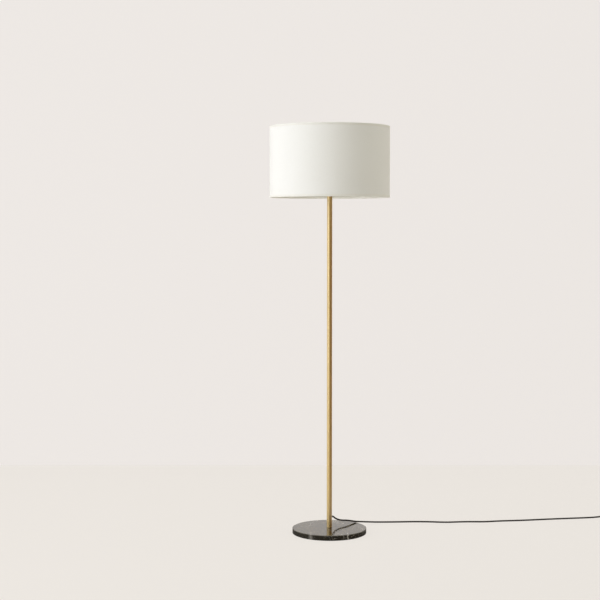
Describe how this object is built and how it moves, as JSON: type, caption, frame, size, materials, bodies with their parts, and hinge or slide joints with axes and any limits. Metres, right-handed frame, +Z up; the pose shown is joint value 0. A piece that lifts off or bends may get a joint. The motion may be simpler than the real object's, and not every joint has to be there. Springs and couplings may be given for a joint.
{
  "type": "floor lamp",
  "caption": "Drum shade floor lamp: round marble base, slim brass pole, white textile drum on a ring-clamped lampholder, textile cord with foot switch and plug.",
  "frame": {"origin": "on the floor under the middle of the round base", "axes": "+Z up along the pole, +X to the right in the picture, +Y away from the viewer; the cord leaves the back of the pole and runs to +X"},
  "size_m": [1.5797, 0.6357, 1.535],
  "materials": {
    "marble": "polished black marble with thin white veins and paler grey clouds",
    "felt": "dense black felt",
    "steel": "zinc-plated steel",
    "rubber": "matt black rubber",
    "satin_brass": "satin brass, brushed along its length",
    "turned_brass": "bare turned brass",
    "black_phenolic": "black moulded phenolic with a low gloss",
    "porcelain": "unglazed white porcelain",
    "wire_insulation": "brown wire insulation",
    "nickel": "nickel plate",
    "black_glass": "black insulator glass",
    "bulb_plastic": "white moulded plastic",
    "circuit_board": "green circuit board",
    "led_aluminium": "white-coated aluminium board",
    "opal_diffuser": "frosted opal diffuser",
    "shade_textile": "white cotton and linen plain weave",
    "shade_liner": "white translucent liner",
    "hem_tape": "white textile tape, folded",
    "white_wire": "white enamelled steel wire",
    "cord_textile": "dark braided textile",
    "tie_strap": "black hook and loop strap",
    "switch_plastic": "black moulded plastic with fine grain",
    "plug_plastic": "black moulded plastic"
  },
  "bodies": {
    "lamp": {"base_felt": "felt", "marble_base": "marble", "base_washer": "steel", "base_lock_washer": "steel", "base_bolt": "steel", "pole_gasket": "rubber", "pole_foot": "turned_brass", "pole_lower": "satin_brass", "pole_middle": "satin_brass", "pole_upper": "satin_brass", "pole_couplers": "turned_brass", "pole_top_plug": "satin_brass", "pole_cord": "cord_textile", "cord_relief": "rubber", "nipple": "steel", "holder_cap": "black_phenolic", "holder_core": "porcelain", "holder_terminal_screws": "turned_brass", "holder_wires": "wire_insulation", "holder_contact": "turned_brass", "holder_shell": "turned_brass", "holder_skirt": "black_phenolic", "shade_nut_lower": "black_phenolic", "shade_nut_upper": "black_phenolic", "cord": "cord_textile", "cord_lead": "cord_textile", "cord_coil": "cord_textile", "cord_tail": "cord_textile", "coil_tie": "tie_strap", "switch_pads": "rubber", "switch_base": "switch_plastic", "switch_cover": "switch_plastic", "switch_screws": "steel", "switch_reliefs": "rubber", "switch_cord_ends": "cord_textile", "switch_clamps": "switch_plastic", "switch_clamp_screws": "steel", "switch_module": "black_phenolic", "switch_terminals": "turned_brass", "switch_wires": "wire_insulation", "switch_spring": "steel", "plug_body": "plug_plastic", "plug_pins": "nickel", "plug_sleeves": "plug_plastic"},
    "shade": {"shade_fabric": "shade_textile", "shade_liner": "shade_liner", "shade_trim_top": "hem_tape", "shade_trim_bottom": "hem_tape", "shade_wire_top": "white_wire", "shade_wire_bottom": "white_wire", "shade_spokes": "white_wire", "shade_fitter": "white_wire"},
    "bulb": {"bulb_contact": "nickel", "bulb_insulator": "black_glass", "bulb_cap": "nickel", "bulb_body": "bulb_plastic", "bulb_driver": "circuit_board", "led_board": "led_aluminium", "bulb_globe": "opal_diffuser"},
    "foot_button": {"switch_button": "switch_plastic"}
  },
  "joints": [
    {"name": "shade_turn", "type": "hinge", "parent": "lamp", "child": "shade", "pos_m": [0, 0, 1.322], "axis": [0, 0, 1], "continuous": true},
    {"name": "bulb_turn", "type": "hinge", "parent": "lamp", "child": "bulb", "pos_m": [0, 0, 1.33], "axis": [0, 0, 1], "range_deg": [0, 720]},
    {"name": "foot_switch_press", "type": "slide", "parent": "lamp", "child": "foot_button", "axis": [0, 0, -1], "range_m": [0, 0.003], "stiffness_N_per_m": 1200, "springref_m": -0.002, "deforming": ["switch_spring"]}
  ]
}
